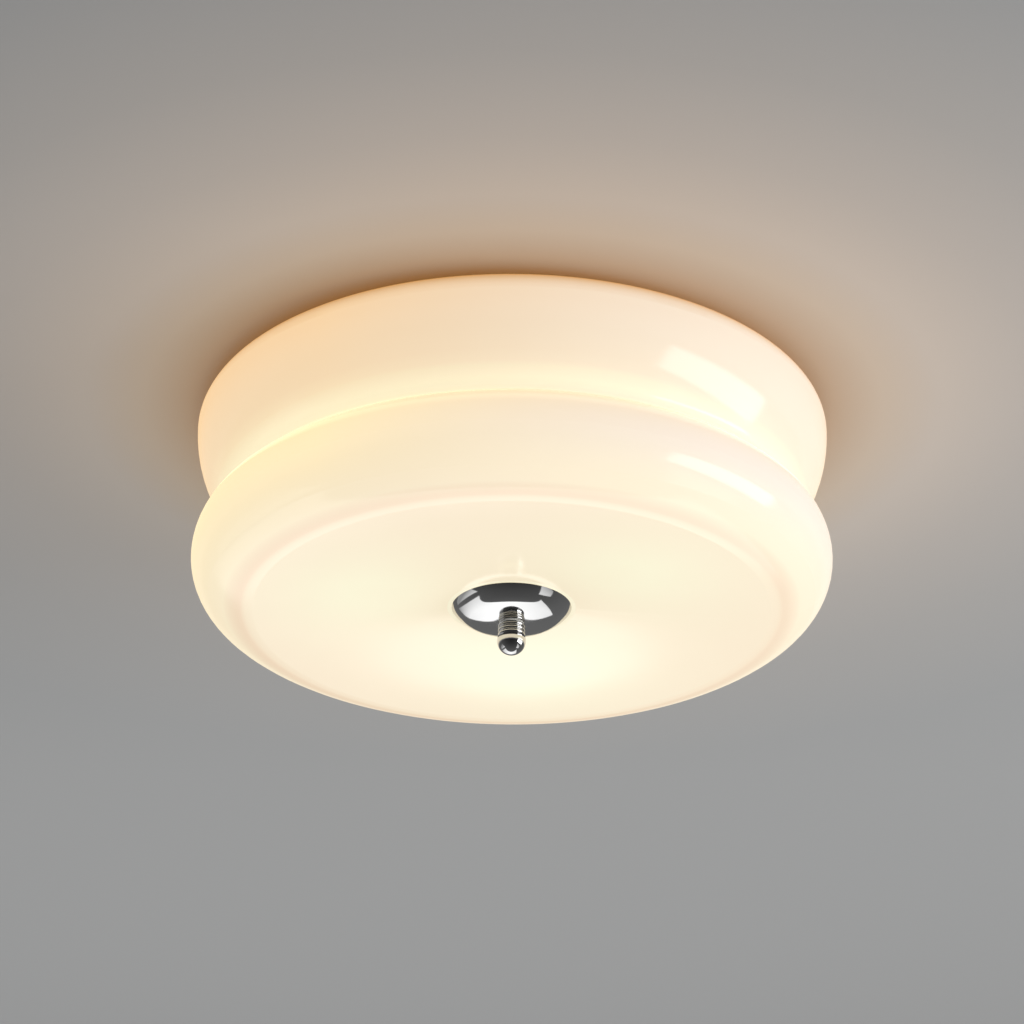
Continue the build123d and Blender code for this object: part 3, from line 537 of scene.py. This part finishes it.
def ceiling_look():
    """Matt painted underside with painted light: darker towards the camera, a warm glow and shade next to
    the glass and an emitted halo of the lamp's light; nothing on the back, so that a view from above sees
    the light.
    """
    look = Look("ceiling_matt_with_painted_light", Roughness=0.9)
    look.bump(look.noise(260.0, 2.0), 0.0002, 0.15)
    reach = look.length(look.place)
    # painted light and shade: the ceiling's colour is darker on the camera's side and lighter away from
    # it
    ceiling_light_falloff = look.mix(look.range(look.parts(look.place)["Y"], -1.0, 0.6), CEILING_SHADED_NEAR, CEILING_LIT_FAR)
    # painted warm glow and contact shade in a ring next to the glass
    look.set(Base_Color=look.mix(look.range(reach, 0.20, 0.27, 1.0, 0.0), ceiling_light_falloff, WARM_GLOW_AND_SHADE))
    side = look.dot(look.vector("NORMALIZE", look.place).outputs[0], HALO_SIDE)
    # painted light: a warm halo of the lamp's glow emitted by the ceiling, brightest on one side
    look.set(
        Emission_Color=look.ramp(look.range(reach, 0.0, HALO_REACH), *HALO),
        Emission_Strength=look.range(side, -1.0, 1.0, 0.33, 1.17),
    )
    back = look.node("ShaderNodeNewGeometry").outputs["Backfacing"]
    clear = look.node("ShaderNodeBsdfTransparent").outputs[0]
    surface = look.node("ShaderNodeMixShader", back, look.shader.outputs[0], clear).outputs[0]
    look.feed(look.tree.nodes["Material Output"].inputs["Surface"], surface)
    return look.material


mesh = bmesh.new()
turns = [2 * pi * n / CEILING_SIDES for n in range(CEILING_SIDES)]
hole, edge = [
    [mesh.verts.new((radius * cos(turn), radius * sin(turn), CEILING_HEIGHT)) for turn in turns]
    for radius in (BOX_HOLE, CEILING_REACH)
]
for n in range(CEILING_SIDES):
    after = (n + 1) % CEILING_SIDES
    mesh.faces.new((hole[n], hole[after], edge[after], edge[n]))
data = bpy.data.meshes.new("ceiling")
mesh.to_mesh(data)
mesh.free()
ceiling = bpy.data.objects.new("ceiling", data)
scene.collection.objects.link(ceiling)
ceiling.data.materials.append(ceiling_look())

# ---- lights ------------------------------------------------------------------------------------
AIM = Vector((0, 0, -0.08))


def softbox(name, azimuth, elevation, distance, width, height, radiance, mirrored=True):
    """Rectangular lamp that faces the light. Azimuth is from +Y towards +X."""
    a, e = radians(azimuth), radians(elevation)
    away = Vector((sin(a) * cos(e), cos(a) * cos(e), sin(e)))
    data = bpy.data.lights.new(name, "AREA")
    data.shape = "RECTANGLE"
    data.size = width
    data.size_y = height
    data.energy = radiance * pi * width * height
    lamp = bpy.data.objects.new(name, data)
    lamp.location = AIM + away * distance
    lamp.rotation_mode = "QUATERNION"
    lamp.rotation_quaternion = away.to_track_quat("Z", "Y")
    lamp.visible_camera = False
    lamp.visible_glossy = mirrored
    scene.collection.objects.link(lamp)


softbox("side_fill", 106, -30, 1.7, 1.3, 1.1, 1.1, mirrored=False)
softbox("window", 106, -12, 1.6, 1.26, 0.57, 3.5)
softbox("far_softbox", -8, -45, 1.7, 2.0, 1.0, 0.9, mirrored=False)


ROOM_LIGHT = 0.55
BACKDROP = 0.72  # what the camera sees past the ceiling

# Bright panels that only shiny surfaces show. A direction's x and y, divided by how far it points
# down, are its place on a floor one metre below: a panel is where every (a, b, c) has a x + b y < c.
FAR_PANEL = ((0.5, 1.0, 1.95), (-1.0, -0.505, 0.74), (1.0, 0.0, 0.62), (0.0, -1.0, -0.06))
RIGHT_PANEL = ((-1.0, 1.2, -0.66), (-1.02, -1.0, -0.61), (0.344, 1.0, 0.654), (1.0, 0.0, 1.6))
LEFT_PANEL = ((1.0, 0.505, -1.05), (-1.0, 0.0, 3.0), (0.0, 1.0, 2.6), (0.0, -1.0, 0.1))
GAP_CENTRE = (-0.05, -0.10)  # dark oval below the light, cut out of the far panel
GAP_SIZE = (0.78, 0.62)  # half widths
PANEL_EDGE = 0.03  # softness


def surroundings():
    """Even room light, a pale backdrop, and a darker room with bright panels in reflections."""
    world = bpy.data.worlds.new("studio")
    world.use_nodes = True
    wiring = Wiring(world.node_tree)
    maths = wiring.maths
    background = wiring.tree.nodes["Background"]
    wiring.feed(background.inputs["Color"], (1.0, 1.0, 1.0))
    x, y, z = wiring.parts(wiring.node("ShaderNodeTexCoord").outputs["Generated"])
    depth = maths("MAXIMUM", maths("MULTIPLY", z, -1.0), 0.02)
    across = maths("DIVIDE", x, depth)
    along = maths("DIVIDE", y, depth)

    def squared(value, centre, size):
        return maths("POWER", maths("ABSOLUTE", maths("DIVIDE", maths("ADD", value, -centre), size)), 2.0)

    gap = [squared(value, *at) for value, at in zip((across, along), zip(GAP_CENTRE, GAP_SIZE))]
    outside = wiring.range(maths("ADD", *gap), 1 - PANEL_EDGE, 1 + PANEL_EDGE)
    panels = 0.0
    for panel, edges in ((outside, FAR_PANEL), (1.0, RIGHT_PANEL), (1.0, LEFT_PANEL)):
        for a, b, c in edges:
            line = maths("ADD", maths("MULTIPLY", across, a), maths("MULTIPLY", along, b))
            inside = wiring.range(maths("SUBTRACT", line, c), -PANEL_EDGE, 0.0, 1.0, 0.0)
            panel = maths("MULTIPLY", panel, inside)
        panels = maths("ADD", panels, panel)
    middle = wiring.range(maths("ABSOLUTE", maths("ADD", across, 0.1)), 0.1, 1.9, 1.25, 0.2)
    room = maths("ADD", wiring.range(y, -1.0, 0.9, 0.02, 0.15), maths("MULTIPLY", panels, middle))

    path = wiring.node("ShaderNodeLightPath").outputs
    level = ROOM_LIGHT
    for ray, value in (("Is Glossy Ray", room), ("Is Camera Ray", BACKDROP)):
        switch = wiring.node("ShaderNodeMix")
        for socket, source in (("Factor", path[ray]), ("A", level), ("B", value)):
            wiring.feed(switch.inputs[socket], source)
        level = switch.outputs["Result"]
    wiring.feed(background.inputs["Strength"], level)
    scene.world = world


surroundings()

# ---- camera ------------------------------------------------------------------------------------
CAMERA_PLACE = (0.0, -1.974, -1.050)
CAMERA_PITCH = 26.53  # degrees upward
CAMERA_ROLL = 0.24
FOCAL_PIXELS = 3500.0
IMAGE_SIDE = 1024
SENSOR = 36.0
lens = bpy.data.cameras.new("camera")
lens.sensor_width = SENSOR
lens.lens = FOCAL_PIXELS / IMAGE_SIDE * SENSOR
camera = bpy.data.objects.new("camera", lens)
camera.location = CAMERA_PLACE
pitch = Euler((radians(90 + CAMERA_PITCH), 0, 0)).to_quaternion()
roll = Euler((0, 0, radians(CAMERA_ROLL))).to_quaternion()
camera.rotation_mode = "QUATERNION"
camera.rotation_quaternion = pitch @ roll
scene.collection.objects.link(camera)
scene.camera = camera
